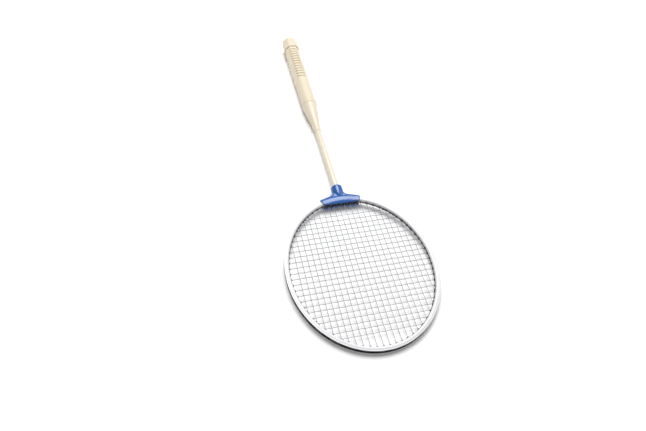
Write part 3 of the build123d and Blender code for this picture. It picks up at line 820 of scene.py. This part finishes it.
# ---- the throat piece ----
def build_yoke():
    """Throat piece: the frame's own shape with every edge softened as a mould leaves it.

    A merged copy of the node is remeshed at an even fineness and its points are drawn to their
    neighbours' mean a few times, which rounds the edges by a fraction of a millimetre.
    """
    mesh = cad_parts["throat_yoke"].data.copy()
    mesh.name = "yoke_moulded"
    shape = bmesh.new()
    shape.from_mesh(mesh)
    bmesh.ops.remove_doubles(shape, verts=shape.verts, dist=0.002 * MM)
    shape.to_mesh(mesh)
    shape.free()
    plastic = blue_plastic()
    piece = place("yoke_moulded", mesh, plastic, ["throat_yoke"])
    remesh = piece.modifiers.new("even", "REMESH")
    remesh.mode = "VOXEL"
    remesh.voxel_size = sizes().yoke_fineness * MM
    remesh.use_smooth_shade = True
    soften = piece.modifiers.new("soften", "SMOOTH")
    soften.factor = 0.5
    soften.iterations = 7
    graph = bpy.context.evaluated_depsgraph_get()
    done = bpy.data.meshes.new_from_object(piece.evaluated_get(graph))
    piece.modifiers.clear()
    piece.data = done
    done.shade_smooth()
    done.materials.clear()
    done.materials.append(plastic)


# ---- the stage ----
def build_stage():
    """White floor that the racket rests on, soft lights and the camera."""
    touch_y, touch_z = RING_HIGH[1] * MM, RING_LOW[2] * MM
    tip_y, tip_z = HEAD_HIGH[1] * MM - HEAD_REST, HEAD_LOW[2] * MM
    slope = (tip_z - touch_z) / (tip_y - touch_y)
    flat = FLOOR_HALF * np.array([(-1, -1), (1, -1), (1, 1), (-1, 1)])
    height = touch_z - FLOOR_GAP + slope * (flat[:, 1:] - touch_y)
    corners = np.hstack([flat, height]).tolist()
    mesh = bpy.data.meshes.new("floor")
    mesh.from_pydata(corners, [], [(0, 1, 2, 3)])
    mesh.materials.append(floor_card())
    floor = bpy.data.objects.new("floor", mesh)
    bpy.context.scene.collection.objects.link(floor)

    world = bpy.data.worlds.new("studio")
    bpy.context.scene.world = world
    world.use_nodes = True
    back = world.node_tree.nodes["Background"]
    back.inputs["Color"].default_value = (1.0, 1.0, 1.0, 1.0)
    back.inputs["Strength"].default_value = WORLD_STRENGTH
    for name, at, aim, width, power in LAMPS:
        lamp = bpy.data.lights.new(name, "AREA")
        lamp.size = width
        lamp.energy = power
        light = bpy.data.objects.new(name, lamp)
        light.matrix_world = Matrix.Translation(at) @ (
            (Vector(aim) - Vector(at)).to_track_quat("-Z", "Y").to_matrix().to_4x4()
        )
        bpy.context.scene.collection.objects.link(light)

    lens = bpy.data.cameras.new("camera")
    lens.sensor_width = SENSOR_MM
    lens.lens = LENS_MM
    lens.dof.use_dof = False
    camera = bpy.data.objects.new("camera", lens)
    look = Vector(CAMERA_LOOK).normalized()
    right = look.cross(Vector(CAMERA_UP)).normalized()
    up = right.cross(look)
    turn = Matrix((right, up, -look)).transposed()
    camera.matrix_world = Matrix.Translation(CAMERA_AT) @ turn.to_4x4()
    bpy.context.scene.collection.objects.link(camera)
    bpy.context.scene.camera = camera
    bpy.context.scene.view_settings.view_transform = "Standard"


def build_hoop():
    """Hoop: the frame's tube, drilled and grooved, in baked paint, with its raw plug inside."""
    finish_node("head_frame", baked_paint())
    finish_node("frame_joiner", bare_metal("raw aluminium", shades().alloy, low=0.35, high=0.5))


def build_grommets():
    """Grommet strips and the comb under the throat piece, in black nylon.

    A low black rail along the hoop's inner wall, through their barrels, is painted shade: a dark
    strip put where the wall shows a line of shade. One section, with its inner edges eased, is
    carried round the ellipse x / a, y / b just inside the wall and stopped at the arms.
    """
    nylon = black_nylon()
    for side in ("tip", "right", "left", "throat"):
        finish_node(f"grommet_strip_{side}", nylon)
    finish_node("throat_insert", nylon)
    s = sizes()
    middle, half_x, half_y = head_ellipse()
    start = np.arccos(s.shade_rail_start / half_x)
    angle = np.linspace(-start, np.pi + start, SHADE_RAIL_POINTS)
    wall = np.stack([half_x * np.cos(angle), half_y * np.sin(angle) + middle, 0 * angle], -1)
    away = np.stack([np.cos(angle) / half_x, np.sin(angle) / half_y, 0 * angle], -1)
    away /= np.linalg.norm(away, axis=-1, keepdims=True)
    inner, outer = s.shade_rail_fit + s.shade_rail_proud, s.shade_rail_fit
    high = s.shade_rail_half_height
    low = SHADE_RAIL_FLAT * high
    eased_edge = inner - SHADE_RAIL_EASE * s.shade_rail_proud
    section = np.array(
        [
            (outer, -high),
            (outer, high),
            (eased_edge, high),
            (inner, low),
            (inner, -low),
            (eased_edge, -high),
        ]
    )
    rings = wall[:, None] - away[:, None] * section[None, :, :1] + UP * section[None, :, 1:]
    # Painted shade: the black rail stands in for the dark line of shade along the hoop's inner
    # wall.
    place("painted_shade_rail", skin("painted_shade_rail", rings, False, sharp=40), nylon)


def build_inside():
    """Core and pin inside the handle, and the blank badges on the cap."""
    finish_node("handle_core", beech())
    finish_node("core_pin", bare_metal("bright steel", shades().steel, low=0.2, high=0.35))
    finish_node("butt_badges", cream_plastic("cream moulded badge", shades().ring))


# ---- operators ----
class RACKET_OT_stage(bpy.types.Operator):
    """Makes the floor, the lights and the camera."""

    bl_idname = "racket.stage"
    bl_label = "Stage"

    def execute(self, context):
        build_stage()
        return {"FINISHED"}


class RACKET_OT_hoop(bpy.types.Operator):
    """Paints the hoop and finishes its joiner."""

    bl_idname = "racket.hoop"
    bl_label = "Hoop"

    def execute(self, context):
        build_hoop()
        return {"FINISHED"}


class RACKET_OT_grommets(bpy.types.Operator):
    """Finishes the grommet strips and lays a black strip of painted shade along the inner wall."""

    bl_idname = "racket.grommets"
    bl_label = "Grommets"

    def execute(self, context):
        build_grommets()
        return {"FINISHED"}


class RACKET_OT_yoke(bpy.types.Operator):
    """Makes the moulded throat piece."""

    bl_idname = "racket.yoke"
    bl_label = "Throat piece"

    def execute(self, context):
        build_yoke()
        return {"FINISHED"}


class RACKET_OT_strings(bpy.types.Operator):
    """Weaves both strings."""

    bl_idname = "racket.strings"
    bl_label = "Strings"

    def execute(self, context):
        build_strings()
        return {"FINISHED"}


class RACKET_OT_knots(bpy.types.Operator):
    """Ties the string ends."""

    bl_idname = "racket.knots"
    bl_label = "Knots"

    def execute(self, context):
        build_knots()
        return {"FINISHED"}


class RACKET_OT_shaft(bpy.types.Operator):
    """Makes the lacquered shaft."""

    bl_idname = "racket.shaft"
    bl_label = "Shaft"

    def execute(self, context):
        build_shaft()
        return {"FINISHED"}


class RACKET_OT_cone(bpy.types.Operator):
    """Makes the cone between the shaft and the grip."""

    bl_idname = "racket.cone"
    bl_label = "Cone"

    def execute(self, context):
        build_cone()
        return {"FINISHED"}


class RACKET_OT_ring(bpy.types.Operator):
    """Makes the ring at the grip's end."""

    bl_idname = "racket.ring"
    bl_label = "Ring"

    def execute(self, context):
        build_ring()
        return {"FINISHED"}


class RACKET_OT_grip(bpy.types.Operator):
    """Makes the grooved grip."""

    bl_idname = "racket.grip"
    bl_label = "Grip"

    def execute(self, context):
        build_grip()
        return {"FINISHED"}


class RACKET_OT_cap(bpy.types.Operator):
    """Makes the butt cap."""

    bl_idname = "racket.cap"
    bl_label = "Butt cap"

    def execute(self, context):
        build_cap()
        return {"FINISHED"}


class RACKET_OT_inside(bpy.types.Operator):
    """Finishes the core, the pin and the badges."""

    bl_idname = "racket.inside"
    bl_label = "Inside"

    def execute(self, context):
        build_inside()
        return {"FINISHED"}


OPERATORS = [
    RACKET_OT_stage,
    RACKET_OT_hoop,
    RACKET_OT_grommets,
    RACKET_OT_yoke,
    RACKET_OT_strings,
    RACKET_OT_knots,
    RACKET_OT_shaft,
    RACKET_OT_cone,
    RACKET_OT_ring,
    RACKET_OT_grip,
    RACKET_OT_cap,
    RACKET_OT_inside,
]


class RACKET_PT_panel(bpy.types.Panel):
    """Lists the racket's operators and sizes."""

    bl_label = "Racket"
    bl_idname = "RACKET_PT_panel"
    bl_space_type = "VIEW_3D"
    bl_region_type = "UI"
    bl_category = "Racket"

    def draw(self, context):
        for step in OPERATORS:
            self.layout.operator(step.bl_idname)
        for group in (context.scene.racket_sizes, context.scene.racket_colours):
            for name in group.bl_rna.properties.keys():
                if name not in ("rna_type", "name"):
                    self.layout.prop(group, name)


CLASSES = [RacketSizes, RacketColours, *OPERATORS, RACKET_PT_panel]


def register():
    for item in CLASSES:
        bpy.utils.register_class(item)
    bpy.types.Scene.racket_sizes = bpy.props.PointerProperty(type=RacketSizes)
    bpy.types.Scene.racket_colours = bpy.props.PointerProperty(type=RacketColours)


def unregister():
    del bpy.types.Scene.racket_colours
    del bpy.types.Scene.racket_sizes
    for item in reversed(CLASSES):
        bpy.utils.unregister_class(item)


def main():
    register()
    for step in OPERATORS:
        getattr(bpy.ops.racket, step.bl_idname.split(".")[1])()


if __name__ == "__main__":
    main()
